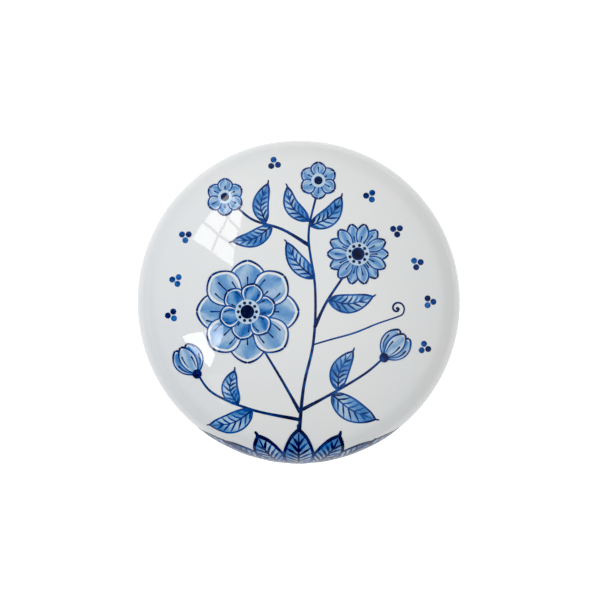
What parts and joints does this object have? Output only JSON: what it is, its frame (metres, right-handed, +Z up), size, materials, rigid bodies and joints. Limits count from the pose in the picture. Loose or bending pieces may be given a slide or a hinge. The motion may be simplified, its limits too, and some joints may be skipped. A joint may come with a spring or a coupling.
{
  "type": "round lidded trinket box",
  "caption": "Round porcelain trinket box: a bowl on a foot ring with a locating collar, and a shallow domed lid that lifts off; blue botanical painting under glaze.",
  "frame": {"origin": "on the table, under the middle of the foot ring", "axes": "+Z up along the box's axis of revolution; -Y is the front, where the painted stems come down over the shoulder"},
  "size_m": [0.1, 0.1, 0.0591],
  "materials": {
    "white_glaze": "clear gloss glaze over white porcelain",
    "cobalt_painting": "hand-painted cobalt under clear gloss glaze",
    "bare_porcelain": "wiped, unglazed bisque on the foot and the lid's seat"
  },
  "bodies": {
    "base": {"base_bowl": "white_glaze"},
    "lid": {"domed_lid": "white_glaze"}
  },
  "joints": [
    {"name": "lid_lift", "type": "slide", "parent": "base", "child": "lid", "axis": [0, 0, 1], "range_m": [0, 0.08]}
  ]
}
